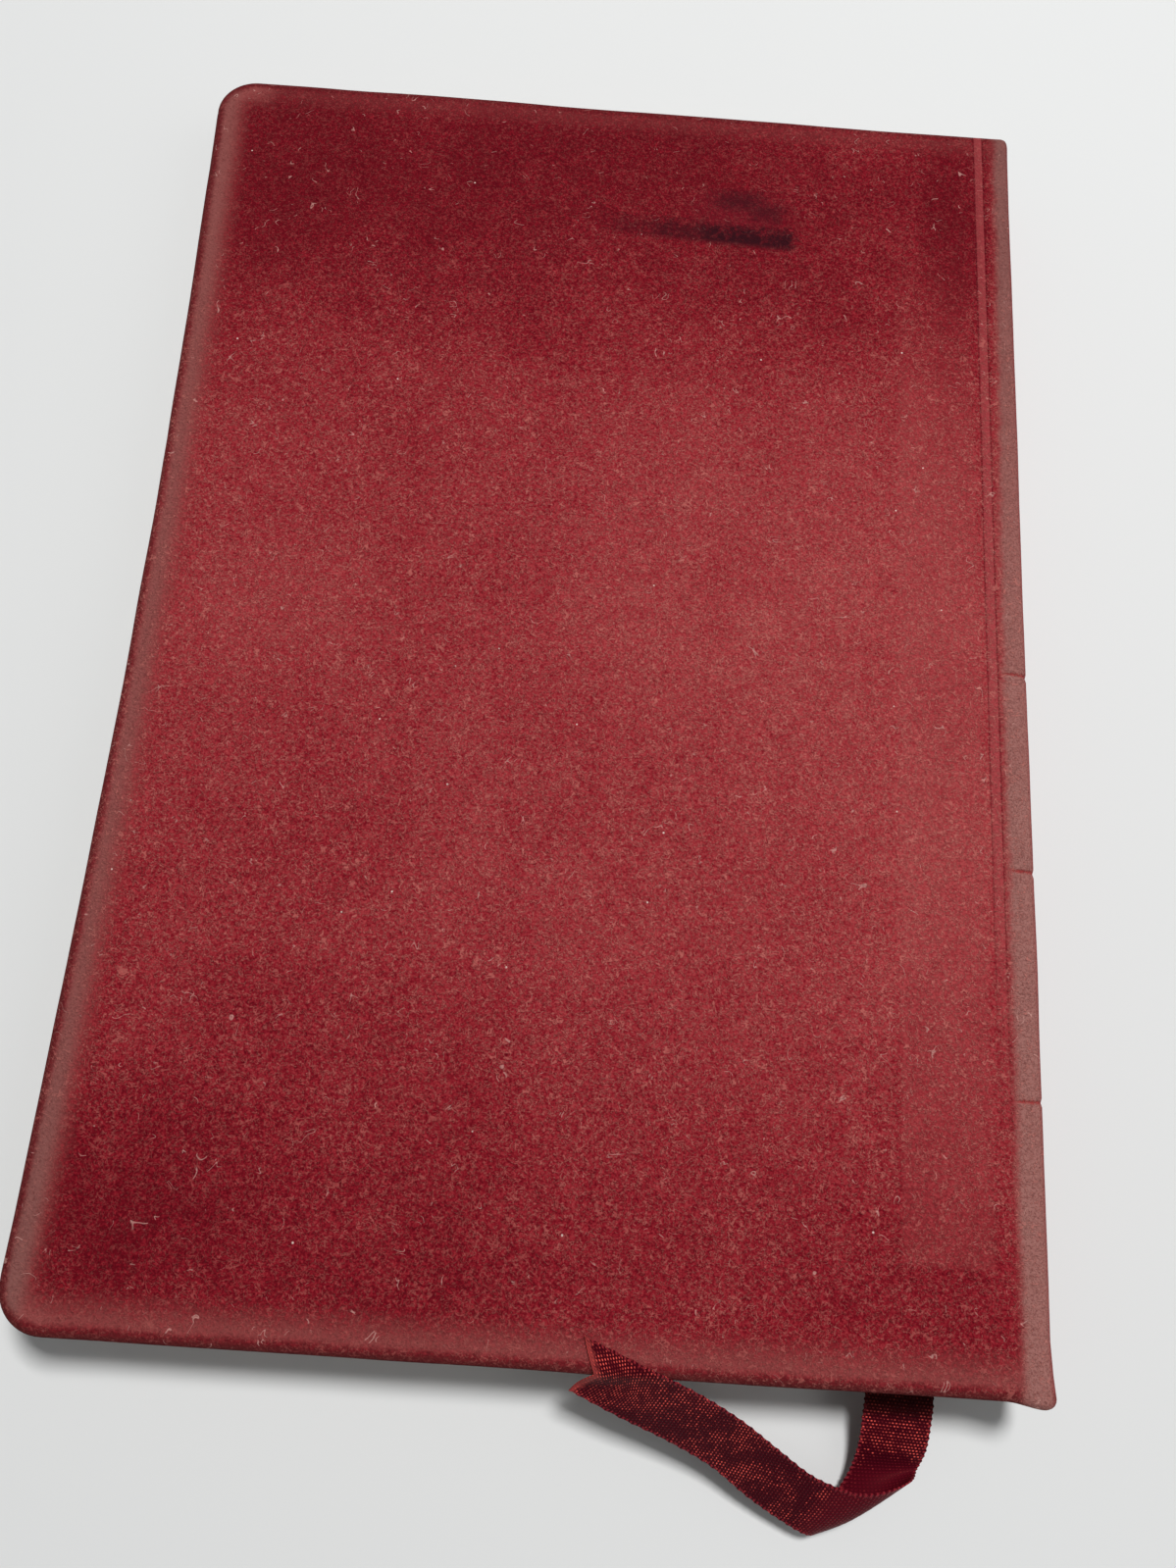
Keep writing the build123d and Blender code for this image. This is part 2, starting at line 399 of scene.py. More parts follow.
# where the nap with its painted sheen lies paler (above zero) or deeper with painted shade (below zero): x,
# y, half width, half height, amount
NAP_AND_SHEEN_AREAS = (
    (22, 14, 34, 30, 0.16),
    (46, 34, 16, 34, 0.10),
    (-50, 4, 20, 16, 0.16),
    (0, -44, 34, 14, 0.08),
    (62, -34, 14, 26, 0.12),
    (22, 60, 22, 8, 0.06),
    (5, 78, 90, 34, -0.26),
    (64, 72, 9, 36, -0.20),
    (-60, 88, 20, 26, -0.10),
    (-57, -86, 22, 20, -0.24),
    (-38, -62, 24, 12, -0.12),
    (50, -90, 22, 16, -0.10),
    (64, 92, 8, 26, -0.14),
)
# the lining flap pressed through: its long edge, its end near the tail, and where it has faded away
FLAP_X, FLAP_TAIL_Y, FLAP_GONE_Y = 52.6, -92.4, 92.0
# the middle of the soiled streak and of the haze beside it
STREAK_X, STREAK_Y, STREAK_SLOPE = 18.0, 82.1, 0.040
HAZE_X, HAZE_Y = 24.0, 87.0
# the blots in that haze: x, y, half width, half height, amount
BLOTS = ((24.0, 89.6, 7.5, 3.6, 0.66), (29.0, 87.4, 5.0, 3.4, 0.56))


# %% The pile: cloudy nap with painted sheen and shade, tufts and thousands of curly fibres
def nap_and_painted_sheen(r):
    """How pale the brushed nap and its painted sheen and shade are at a place, about 0 where the pile stands
    up and 1 where it lies flat.
    """
    along = (r.y - PALEST_Y) / NAP_REACH
    # painted sheen: palest below mid-height, deeper towards head and tail, a little paler towards the spine
    # side
    pale = 0.80 - r.maths("POWER", abs(along), 1.7) * 0.62 + r.x * 0.0016
    for x, y, wide, high, amount in NAP_AND_SHEEN_AREAS:
        dx = (r.x - x) / wide
        dy = (r.y - y) / high
        pale = pale + r.step(dx * dx + dy * dy, 1.0, 0.0) * amount
    broad = r.noise(0.030, 3.0, 0.55, 0.6, (1, 0.7, 1))
    return pale + (broad - 0.5) * 0.55


def curly_fibres(r, cloud):
    """Thin curved lines: the contour lines of a warped noise, broken into short pieces."""
    fibres = 0.0
    for per_mm, width, seed in ((0.55, 0.024, 3.0), (0.90, 0.036, 11.0), (1.50, 0.055, 17.0)):
        level = r.noise(per_mm, 1.5, 0.6, 0.9, seed=seed)
        line = r.step(abs(level - 0.5), width, width * 0.2)
        gaps = r.noise(per_mm * 1.4, 1.0, 0.5, 0.0, seed=seed + 1.0)
        fibres = fibres + line * r.step(gaps, 0.45, 0.58)
    return r.maths("MINIMUM", fibres * (0.55 + cloud * 0.9), 1.0)


# %% Wear and painted sheen along the edges, and painted shade on the very rim, by distance from the nearest edge
def edge_wear_sheen_and_shade(r, base, cloud, tufts):
    half, fore = HALF / MM, FORE_X / MM
    bow = (1.0 - (r.y / half) * (r.y / half)) * (FORE_EDGE_BOW / MM)
    from_fore = r.x - fore - bow
    from_tail = r.y + half
    from_head = half - r.y
    from_end = r.maths("MINIMUM", from_tail, from_head)
    corner = CORNER_ROUND / MM
    miss_x = r.maths("MAXIMUM", corner - from_fore, 0.0)
    miss_y = r.maths("MAXIMUM", corner - from_end, 0.0)
    inside = corner - r.maths("POWER", miss_x * miss_x + miss_y * miss_y, 0.5)
    wander = (cloud - 0.5) * 2.4 + (tufts - 0.5) * 1.8
    rim = inside + wander * 0.5
    fore_share = r.step(from_fore, 14.0, 7.0)
    tail_share = r.step(from_tail, 14.0, 7.0)
    head_share = r.step(from_head, 8.0, 4.0)
    # pale band along the edges: rubbed nap with painted sheen of the rounded edge
    ridge = r.step(rim, 1.1, 2.6) * r.step(rim + (tufts - 0.5) * 3.0, 7.4, 1.6)
    share = r.maths("MAXIMUM", fore_share * 0.95, r.maths("MAXIMUM", tail_share * 0.72, head_share * 0.22))
    rubbed_and_sheen = ridge * share
    base = r.blend(base, RUBBED_AND_SHEEN, rubbed_and_sheen)
    # greyish band by the fore-edge: rubbed nap with painted sheen
    grey_sheen_band = r.step(from_fore, 5.4, 2.8) * r.step(rim, 0.8, 2.0)
    base = r.blend(base, FORE_EDGE_GREY, grey_sheen_band * (0.34 + r.step(from_tail, 70.0, 4.0) * 0.40))
    # painted shade on the rounded rim, where the cover turns away from the light
    rim_shade_share = r.step(inside + (tufts - 0.5) * 0.8, 2.1, 0.7)
    return r.blend(base, RIM_SHADE, rim_shade_share * 0.85), rubbed_and_sheen


# %% Wear and painted sheen over the spine, and the pressed lines beside it with painted shade in them
def spine_wear_and_sheen(r, base, cloud, tufts):
    spine = SPINE_X / MM
    towards_tail = r.step(r.y, 95.0, -30.0)
    wander = (cloud - 0.5) * 1.6 + (tufts - 0.5) * 1.8 + towards_tail * 1.2
    # warm rub beside the spine: rubbed nap with painted sheen
    warm = r.step(r.x + wander * 0.7, spine - 5.4, spine - 3.4)
    base = r.blend(base, RUBBED_AND_SHEEN, warm * (0.20 + towards_tail * 0.40))
    # the shoulder's grey and brown: rubbed nap with painted sheen, darker towards the head
    shoulder = r.step(r.x + wander, spine - 4.2, spine - 2.6)
    grey = shoulder * r.step(r.x, spine - 0.05, spine - 1.3)
    base = r.blend(base, SHOULDER_BROWN, grey * (1.0 - towards_tail) * 0.85)
    base = r.blend(base, GREYED_AND_SHEEN, grey * (0.12 + towards_tail * 0.62 + cloud * 0.45))
    notches = 0.0
    for place in NOTCHES:
        notches = notches + r.bump_of(r.y + (tufts - 0.5) * 0.8, place / MM, 0.45)
    base = r.blend(base, CREASE, notches * shoulder * 0.85)
    fade = r.step(r.y, -78.0, -20.0)
    strip = r.step(r.x, spine - 7.2, spine - 7.0) * r.step(r.x, spine - 5.6, spine - 5.8)
    outer, inner = PRESSED_LINES
    # painted shade in the two pressed grooves
    lines = r.bump_of(r.x, spine - outer, 0.22) + r.bump_of(r.x, spine - inner, 0.22)
    base = r.blend(base, PRESSED_STRIP, strip * fade * (0.42 + tufts * 0.30))
    base = r.blend(base, PRESSED_LINE, lines * fade * 0.62)
    return base, shoulder, notches * shoulder


# %% What only the cover lying uppermost shows: the flap pressed through, and a soiled streak
def pressed_flap(r, base):
    spine = SPINE_X / MM
    flap = r.step(r.x, FLAP_X, FLAP_X + 1.0) * r.step(r.y, FLAP_TAIL_Y, FLAP_TAIL_Y + 1.2)
    flap = flap * r.step(r.y, FLAP_GONE_Y, 30.0) * r.step(r.x, spine - 7.6, spine - 9.4)
    return r.blend(base, FLAP, flap * 0.22)


def soiled_streak(r, base, tufts):
    """A ragged streak, heavier towards the spine, with two faint blots beside it."""
    grime = r.noise(0.55, 3.0, 0.7, 1.2, seed=31.0)
    along = r.x - STREAK_X + (grime - 0.5) * 5.0
    across = r.y - STREAK_Y + (r.x - STREAK_X) * STREAK_SLOPE
    ragged = (grime - 0.5) * 1.8 + (tufts - 0.5) * 2.2
    start = r.step(along, -20.5, -15.0) * 0.40 + r.step(along, -11.0, -8.0) * 0.30
    start = start + r.step(along, -2.5, 0.5) * 0.28
    above = r.step(across + ragged * 1.5, 3.5, 0.4)
    below = r.step(across + ragged * 0.6, -2.8, -1.1)
    thin = r.step(grime * 0.6 + tufts * 0.4, 0.62, 0.44)
    streak = start * r.step(along, 17.6, 15.0) * above * below * (0.68 + thin * 0.32)
    soiled = streak
    for x, y, wide, high, amount in BLOTS:
        sideways = r.step(abs(r.x - x) + ragged * 2.0, wide, 1.0)
        blot = sideways * r.step(abs(r.y - y) + ragged * 1.2, high, 0.3)
        soiled = r.maths("MAXIMUM", soiled, blot * amount)
    haze = r.step(abs(r.x - HAZE_X), 13.0, 3.0) * r.step(abs(r.y - HAZE_Y), 6.5, 1.5)
    base = r.blend(base, HAZE, haze * 0.42)
    return r.blend(base, SOIL, soiled)


# %% The whole velvet finish, from the pile up to hairs and dirt
def pile_colour(r, local):
    """Climb from the shadow between the tufts to the pale fibre tips."""
    base = r.blend(DEEP, CRIMSON, r.step(local, -0.10, 0.62))
    base = r.blend(base, ROSE, r.step(local, 0.35, 1.20))
    base = r.blend(base, FIBRE, r.step(local, 0.95, 1.90))
    return r.blend(base, UNDER_PILE, r.step(local, 0.05, -0.55) * 0.8)


def hairs_and_lint(r, base):
    strand = r.noise(0.26, 1.0, 0.5, 1.2, seed=41.0)
    gaps = r.noise(0.45, 1.0, 0.5, 0.0, seed=47.0)
    stray = r.step(abs(strand - 0.5), 0.012, 0.002) * r.step(gaps, 0.64, 0.68)
    base = r.blend(base, STRAY_HAIR, stray * 0.55)
    return r.blend(base, LINT, r.step(r.grains(0.15), 0.032, 0.016) * 0.8)


def velvet(name, uppermost):
    r = Recipe(name, Roughness=0.95, Sheen_Weight=0.025, Sheen_Roughness=0.5)
    r.shader.inputs["Sheen Tint"].default_value = (1.0, 0.34, 0.32, 1.0)
    r.shader.inputs["Specular IOR Level"].default_value = 0.025
    cloud = r.noise(0.16, 4.0, 0.62, 0.8, (1, 1.2, 1), seed=5.0)
    tufts = r.noise(1.7, 2.5, 0.65, 0.5, seed=9.0)
    grain = r.noise(3.1, 1.0, 0.5, 0.3, seed=21.0)
    # the pale nap here carries painted sheen and painted shade as well as the cloudy nap
    pale = nap_and_painted_sheen(r) + (cloud - 0.5) * 0.50
    local = pale + (tufts - 0.5) * 1.50 + (grain - 0.5) * 1.55
    base = pile_colour(r, local)
    fibres = curly_fibres(r, cloud) * (r.step(pale, -0.1, 0.8) * 0.76 + 0.24)
    if uppermost:
        base = pressed_flap(r, base)
    base, rubbed_and_sheen = edge_wear_sheen_and_shade(r, base, cloud, tufts)
    base, shoulder, notches = spine_wear_and_sheen(r, base, cloud, tufts)
    # the rubbed bands and the shoulder, where wear and painted sheen lie
    worn_and_sheen = r.maths("MINIMUM", shoulder + rubbed_and_sheen, 1.0)
    base = r.blend(base, UNDER_PILE, worn_and_sheen * r.step(grain, 0.52, 0.26) * 0.42)
    base = r.blend(base, FIBRE, fibres * (1.0 - worn_and_sheen * 0.3) * 0.56)
    base = hairs_and_lint(r, base)
    if uppermost:
        base = soiled_streak(r, base, tufts)
    r.colour(base)
    r.rough(0.88 + fibres * 0.08 - worn_and_sheen * 0.10)
    r.raise_by(tufts * (1.0 - worn_and_sheen * 0.5) + fibres * 0.5 + grain * 0.4 - notches * 0.8, 0.26, 0.9)
    return r.material


VELVET_BACK = velvet("velvet_back_cover", True)
VELVET_FRONT = velvet("velvet_front_cover", False)
print("velvet made with", len(VELVET_BACK.node_tree.nodes), "nodes")

# %% [markdown]
# ## The velvet over a cover and half the spine
#
# On the real album one piece of velvet wraps everything: over the board, round its edges, and over the
# spine. It is modelled as an outer skin first and given its thickness last, so the inside follows by itself.
# The skin starts as a cube, its corners and rim are bevelled, the side towards the spine is opened, and the
# open edge is pulled across the joint and spun over the shoulder. The album bends at mid-spine, so the skin
# ends there.

# %% The plate: bevelled, opened towards the spine and cut into a fine grid
def cover_plate(name):
    low = Vector((FORE_X, -HALF, COVER_LOW.z))
    high = Vector((HINGE_X, HALF, TOP))
    obj = block(name, low, high)

    def upright_fore_edge(e):
        a, b = e.verts
        return near(a.co.x, FORE_X) and near(b.co.x, FORE_X) and not near(a.co.z, b.co.z)

    pick(upright_fore_edge, "EDGE")
    bpy.ops.mesh.bevel(offset=CORNER_ROUND, segments=14, affect="EDGES")
    for level, size, segments in ((TOP, RIM_ROUND, 5), (COVER_LOW.z, INNER_RIM_ROUND, 3)):
        pick(
            lambda e: all(near(v.co.z, level) for v in e.verts)
            and not all(near(v.co.x, HINGE_X) for v in e.verts),
            "EDGE",
        )
        bpy.ops.mesh.bevel(offset=size, segments=segments, affect="EDGES")
    pick(lambda f: f.normal.x > 0.9 and near(f.calc_center_median().x, HINGE_X), "FACE")
    bpy.ops.mesh.delete(type="FACE")
    return obj


def grid_places(low, high):
    count = round((high - low) / GRID)
    return [low + (high - low) * i / count for i in range(1, count)]


def cut_grid():
    across = grid_places(FORE_X, HINGE_X) + [FORE_X + TURN_IN_REACH]
    beside_the_line = [SPINE_X - d * MM for d in (7.7, 7.25, 7.0)]
    along = grid_places(-HALF, HALF) + [HALF - TURN_IN_REACH, TURN_IN_REACH - HALF]
    for place in across + beside_the_line:
        cut(place, 0)
    for notch in NOTCHES:
        along += [notch - 0.7 * MM, notch, notch + 0.7 * MM]
    for place in along:
        cut(place, 1)


# %% The joint and the shoulder: the open edge is pulled across and spun
def over_the_shoulder():
    rim_low = TOP - RIM_ROUND
    pick(lambda e: all(near(v.co.x, HINGE_X) and v.co.z > rim_low - 0.01 * MM for v in e.verts), "EDGE")
    shoulder_x = SPINE_X - SHOULDER_ROUND
    stops = [SPINE_X - d * MM for d in (5.8, 5.55, 5.3, 4.6, 3.8, 3.2)] + [shoulder_x]
    at = HINGE_X
    for stop in stops:
        pull(x=stop - at)
        at = stop
    bpy.ops.mesh.spin(
        steps=8, angle=-math.pi / 2, center=(shoulder_x, 0, TOP - SHOULDER_ROUND), axis=(0, 1, 0)
    )
    drop = TOP - SHOULDER_ROUND - MID_Z
    for _ in range(4):
        pull(z=-drop / 4)


# %% Fore-edge, creases and the worn ends of the spine
def soften_shape():
    obj = bpy.context.object
    rows = sorted({round(v.co.y, 6) for v in bmesh.from_edit_mesh(obj.data).verts})
    # the fore-edge is slightly hollow, most of all at mid-height
    for zone, share in ((9 * MM, 0.5), (18 * MM, 0.5)):
        for row in rows:
            inward = FORE_EDGE_BOW * (1 - (row / HALF) ** 2) * share
            pick(lambda v: near(v.co.y, row, TIGHT) and v.co.x < FORE_X + zone)
            shift(x=inward)
    for line in PRESSED_LINES:
        pick(lambda v: near(v.co.x, SPINE_X - line * MM) and v.co.z > TOP - 0.2 * MM and v.co.y > -80 * MM)
        shift(z=-0.13 * MM)
    for notch in NOTCHES:
        pick(lambda v: near(v.co.y, notch) and v.co.x > SPINE_X - 3.5 * MM)
        shift(x=-0.16 * MM, z=-0.12 * MM)
    # the worn corners of the spine: rubbed out of square at the tail, standing up at the head
    pick(lambda v: v.co.y < -HALF + 1.6 * MM and v.co.x > SPINE_X - 2.2 * MM and v.co.z > TOP - 3.5 * MM)
    shift(x=0.55 * MM, y=-0.75 * MM, z=0.15 * MM, soft=5 * MM)
    pick(lambda v: v.co.y > HALF - 0.3 * MM and v.co.x > SPINE_X - 0.9 * MM and v.co.z > TOP - 4.0 * MM)
    shift(x=-0.2 * MM, z=0.8 * MM, soft=2.5 * MM)


# %% The whole skin, with its thickness
def velvet_skin(name):
    obj = cover_plate(name)
    cut_grid()
    reach_x, reach_y = FORE_X + TURN_IN_REACH, HALF - TURN_IN_REACH

    def under_the_board(f):
        c = f.calc_center_median()
        return near(c.z, COVER_LOW.z) and c.x > reach_x and abs(c.y) < reach_y

    pick(under_the_board, "FACE")
    bpy.ops.mesh.delete(type="FACE")
    over_the_shoulder()
    soften_shape()
    pick(lambda f: f.normal.z > 0.99 and f.calc_area() > 3 * MM * MM, "FACE")
    bpy.ops.mesh.subdivide(number_cuts=1)
    bpy.ops.mesh.select_all(action="SELECT")
    bpy.ops.mesh.remove_doubles(threshold=0.005 * MM)
    bpy.ops.mesh.normals_make_consistent(inside=False)
    done()
    ripple = bpy.data.textures.new(name + "_ripple", "CLOUDS")
    ripple.noise_scale = 0.028
    modify(obj, "DISPLACE", texture=ripple, texture_coords="LOCAL", strength=0.35 * MM, mid_level=0.5)
    modify(obj, "SOLIDIFY", thickness=PILE_CLOTH, offset=-1.0)
    smooth(obj, 50)
    return obj


back_skin = velvet_skin("back_velvet_skin")
front_skin = copy_of(back_skin, "front_velvet_skin")
edit(front_skin)
bpy.ops.mesh.select_all(action="SELECT")
bpy.ops.transform.resize(value=(1, 1, -1), center_override=(0, 0, MID_Z))
bpy.ops.mesh.flip_normals()
done()
for skin, finish in ((back_skin, VELVET_BACK), (front_skin, VELVET_FRONT)):
    skin.data.materials.clear()
    skin.data.materials.append(finish)
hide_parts("back_velvet", "spine_velvet_upper")
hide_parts("front_velvet", "spine_velvet_lower")
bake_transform(back_skin)
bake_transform(front_skin)
print("velvet skin faces", len(back_skin.data.polygons))

# %% [markdown]
# ## Paper, card and lining
#
# Old album paper is never one flat white. It is warmer towards the edges, faintly mottled, and at a grazing
# angle it shows a soft tooth. One recipe serves the leaves and the endpapers with different colours.


# %% Paper and card finishes
def paper(name, light, aged, tooth=0.05):
    r = Recipe(name, Roughness=0.85)
    half, fore = HALF / MM, FORE_X / MM
    mottle = r.noise(0.05, 4.0, 0.6, 0.4)
    fibre = r.noise(1.6, 4.0, 0.7, 0.8)
    edge = r.maths("MINIMUM", r.maths("MINIMUM", half - abs(r.y), r.x - fore), 14.0)
    age = r.step(edge + (mottle - 0.5) * 8.0, 12.0, 3.0) * 0.7 + r.step(mottle, 0.45, 0.8) * 0.4
    colour = r.blend(light, aged, age)
    foxed = r.step(r.grains(0.045), 0.10, 0.03) * r.step(mottle, 0.5, 0.65)
    colour = r.blend(colour, (0.42, 0.27, 0.14), foxed * 0.35)
    r.colour(r.blend(colour, aged, r.step(fibre, 0.52, 0.75) * 0.25))
    r.rough(0.80 + fibre * 0.15)
    r.raise_by(fibre, tooth, 0.6)
    return r.material


def leaf_edges(name):
    """Paper seen on its cut edge: each leaf a slightly different tint."""
    r = Recipe(name, Roughness=0.88)
    layer = r.noise(0.02, 1.0, 0.5, 0.0, (1, 1, 170))
    mottle = r.noise(0.10, 3.0, 0.6, 0.5, (1, 1, 6), seed=2.0)
    fibre = r.noise(2.2, 3.0, 0.7, 0.6, seed=4.0)
    colour = r.blend((0.74, 0.66, 0.52), (0.60, 0.50, 0.36), r.step(layer, 0.35, 0.65))
    colour = r.blend(colour, (0.45, 0.34, 0.22), r.step(mottle, 0.50, 0.80) * 0.5)
    r.colour(r.blend(colour, (0.80, 0.74, 0.62), r.step(fibre, 0.55, 0.8) * 0.3))
    r.rough(0.82 + fibre * 0.12)
    r.raise_by(fibre, 0.06, 0.6)
    return r.material


def woven(name, light, dark, threads_per_mm=1.6):
    """Plain weave: two sets of threads that pass over and under each other."""
    r = Recipe(name, Roughness=0.85)
    warp = r.maths("SINE", r.y * (threads_per_mm * math.tau))
    weft = r.maths("SINE", (r.x + r.z) * (threads_per_mm * math.tau))
    weave = warp * weft * 0.5 + 0.5
    soil = r.noise(0.09, 3.0, 0.6, 0.4)
    colour = r.blend(dark, light, weave * 0.7 + 0.15)
    r.colour(r.blend(colour, dark, r.step(soil, 0.45, 0.8) * 0.6))
    r.raise_by(weave, 0.08, 0.8)
    return r.material


PAGE = paper("album_page", (0.80, 0.75, 0.63), (0.66, 0.56, 0.40))
ENDPAPER = paper("endpaper", (0.70, 0.62, 0.48), (0.54, 0.42, 0.28), 0.07)
EDGES = leaf_edges("leaf_edges")
CARD = paper("binders_card", (0.36, 0.30, 0.22), (0.24, 0.19, 0.13), 0.12)
CLOTH = woven("lining_cloth", (0.70, 0.66, 0.55), (0.50, 0.45, 0.34))
THREAD = woven("linen_thread", (0.78, 0.74, 0.64), (0.58, 0.52, 0.42), 4.0)


def finish_node(node, material):
    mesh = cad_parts[node].data
    mesh.materials.clear()
    mesh.materials.append(material)


for side, half_name in (("front", "lower"), ("back", "upper")):
    finish_node(f"{side}_board", CARD)
    finish_node(f"{side}_infill", CARD)
    finish_node(f"{side}_lining_flap", CLOTH)
    finish_node(f"{side}_pastedown", ENDPAPER)
    finish_node(f"{side}_flyleaf", ENDPAPER)
    finish_node(f"spine_lining_{half_name}", CLOTH)
    finish_node(f"sewing_thread_{half_name}", THREAD)
print("paper, card and cloth finishes set on the packed pieces")

# %% [markdown]
# ## The gatherings
#
# A gathering is a few folded sheets inside each other. Closed, all you see is the stack of cut edges, never
# quite level. So one leaf is modelled with its round corners, copied, and each copy is nudged by a fraction
# of a millimetre. Only the top and bottom leaf of a gathering are ever seen flat.

# %% One leaf, then a stack of slightly uneven copies
LEAF_ROUND = 8 * MM
LEAVES_IN_SECTION = 6
PAPER_SHARE = 0.90
UNEVEN = 0.0022
RIDGE_WIDTH = 3.4 * MM
RIDGE_ROUND = 1.3 * MM


def leaf_slab(name, low, high):
    obj = block(name, low, high)

    def upright_fore_edge(e):
        a, b = e.verts
        return near(a.co.x, low.x) and near(b.co.x, low.x) and not near(a.co.z, b.co.z, 1e-7)

    pick(upright_fore_edge, "EDGE")
    bpy.ops.mesh.bevel(offset=LEAF_ROUND, segments=9, affect="EDGES")
    done()
    return obj


def paper_faces(obj):
    """Flat faces get the page finish, upright ones the cut-edge finish."""
    obj.data.materials.clear()
    obj.data.materials.append(PAGE)
    obj.data.materials.append(EDGES)
    for face in obj.data.polygons:
        face.material_index = 0 if abs(face.normal.z) > 0.7 else 1


def gathering(number):
    low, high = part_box(f"section_{number}")
    flat_low, flat_high = low.copy(), high.copy()
    outer = number in (1, 6)
    pitch = (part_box("section_2")[1].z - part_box("section_2")[0].z) / LEAVES_IN_SECTION
    if number == 1:
        flat_low.z = high.z - pitch * LEAVES_IN_SECTION
    if number == 6:
        flat_high.z = low.z + pitch * LEAVES_IN_SECTION
    leaf_high = Vector((high.x, high.y, flat_low.z + pitch * PAPER_SHARE))
    leaf = leaf_slab(f"leaf_of_section_{number}", flat_low, leaf_high)
    leaves = [leaf]
    for i in range(1, LEAVES_IN_SECTION):
        extra = copy_of(leaf, f"leaf_{number}_{i}")
        edit(extra)
        bpy.ops.mesh.select_all(action="SELECT")
        bpy.ops.transform.resize(
            value=(1 - random.uniform(0, UNEVEN), 1 - random.uniform(0, UNEVEN), 1),
            center_override=(high.x, random.uniform(-1, 1) * high.y * 0.5, 0),
        )
        shift(z=pitch * i)
        done()
        leaves.append(extra)
    if outer:
        ridge_low = Vector((high.x - RIDGE_WIDTH, low.y, low.z if number == 1 else flat_high.z))
        ridge_high = Vector((high.x, high.y, flat_low.z if number == 1 else high.z))
        ridge = block(f"shoulder_{number}", ridge_low, ridge_high)
        outside = ridge_low.z if number == 1 else ridge_high.z
        pick(
            lambda e: all(near(v.co.z, outside) for v in e.verts)
            and abs(e.verts[0].co.x - e.verts[1].co.x) < MM,
            "EDGE",
        )
        bpy.ops.mesh.bevel(offset=RIDGE_ROUND, segments=4, affect="EDGES")
        done()
        leaves.append(ridge)
    stack = joined(leaves, f"gathering_{number}")
    paper_faces(stack)
    smooth(stack, 30)
    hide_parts(f"section_{number}")
    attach(stack, "lower_block" if number <= 3 else "upper_block")


for number in range(1, 7):
    gathering(number)
print("gatherings made")

# %% [markdown]
# ## Leaves that turn, and the sheet at the centre
#
# When the album opens, the leaves of the middle gathering fan out. Near the sewing the real leaves stay held
# and bend there instead of swinging like a board. Here each leaf is cut into narrow strips near the spine and
# wider ones further out. The outermost folded sheet crosses from one half to the other and arches over the
# fold.


# %% Turning leaves
def turning_leaf(number):
    node = f"middle_leaf_{number}"
    low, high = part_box(node)
    leaf = leaf_slab(f"turning_leaf_{number}", low, high)
    edit(leaf)
    narrow, wide, bending = 0.6 * MM, 11 * MM, 9 * MM
    for i in range(1, 16):
        cut(high.x - narrow * i, 0)
    for i in range(1, 12):
        cut(high.x - bending - wide * i, 0)
    done()
    paper_faces(leaf)
    smooth(leaf, 60)
    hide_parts(node)
    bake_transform(leaf)


for number in (1, 2, 3):
    turning_leaf(number)


# %% The folded sheet at the centre
def finish_sheet(sheet, thickness, material):
    """From an open surface in edit mode to a thin sheet of paper."""
    bpy.ops.mesh.select_all(action="SELECT")
    bpy.ops.mesh.normals_make_consistent(inside=False)
    done()
    modify(sheet, "SOLIDIFY", thickness=thickness, offset=0.0)
    sheet.data.materials.append(material)
    smooth(sheet, 60)


def centre_sheet():
    low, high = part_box("middle_leaf_2")
    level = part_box("section_3")[1].z + 0.03 * MM
    fold_x = high.x - 0.35 * MM
    sheet = square("centre_sheet")
    bpy.ops.transform.resize(value=(fold_x - low.x, high.y - low.y, 1))
    shift(x=(fold_x + low.x) / 2, z=level)
    pick(lambda v: near(v.co.x, low.x))
    bpy.ops.mesh.bevel(offset=LEAF_ROUND, segments=9, affect="VERTICES")
    pick(lambda e: all(near(v.co.x, fold_x) for v in e.verts), "EDGE")
    bpy.ops.mesh.spin(steps=14, angle=math.pi, center=(fold_x, 0, MID_Z), axis=(0, 1, 0))
    pull(x=-(fold_x - low.x))
    pick(lambda v: near(v.co.x, low.x) and v.co.z > MID_Z)
    bpy.ops.mesh.bevel(offset=LEAF_ROUND, segments=9, affect="VERTICES")
    finish_sheet(sheet, 0.06 * MM, PAGE)
    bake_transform(sheet)
    print("centre sheet lies", round(level / MM, 2), "mm above the table")


centre_sheet()

# %% [markdown]
# ## The paper joint of each cover
#
# The endpaper is one folded sheet: half is pasted to the board, half lies free on the leaves. Between them it
# dips into the groove beside the shoulder. It is modelled as a strip that runs up, over and down in that
# groove.


# %% Endpaper joints
def paper_joint(side):
    fly_low, fly_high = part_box(f"{side}_flyleaf")
    paste_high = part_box(f"{side}_pastedown")[1]
    sign = 1 if side == "back" else -1
    start_x = fly_high.x + 0.02 * MM
    end_x = paste_high.x + 0.04 * MM
    foot = fly_high.z if sign > 0 else fly_low.z
    crest = foot + sign * 2.2 * MM
    strip = square(f"{side}_endpaper_joint")
    bpy.ops.transform.resize(value=(MM, fly_high.y - fly_low.y - 2 * MM, 1))
    shift(x=start_x - 0.5 * MM, z=foot)
    pick(lambda e: all(near(v.co.x, start_x) for v in e.verts), "EDGE")
    for _ in range(5):
        pull(z=(crest - foot) / 5)
    radius = (start_x - end_x) / 2
    bpy.ops.mesh.spin(steps=10, angle=sign * math.pi, center=(start_x - radius, 0, crest), axis=(0, 1, 0))
    for _ in range(5):
        pull(z=-(crest - foot) / 5)
    finish_sheet(strip, 0.08 * MM, ENDPAPER)
    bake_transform(strip)


paper_joint("back")
paper_joint("front")
print("endpaper joints made")

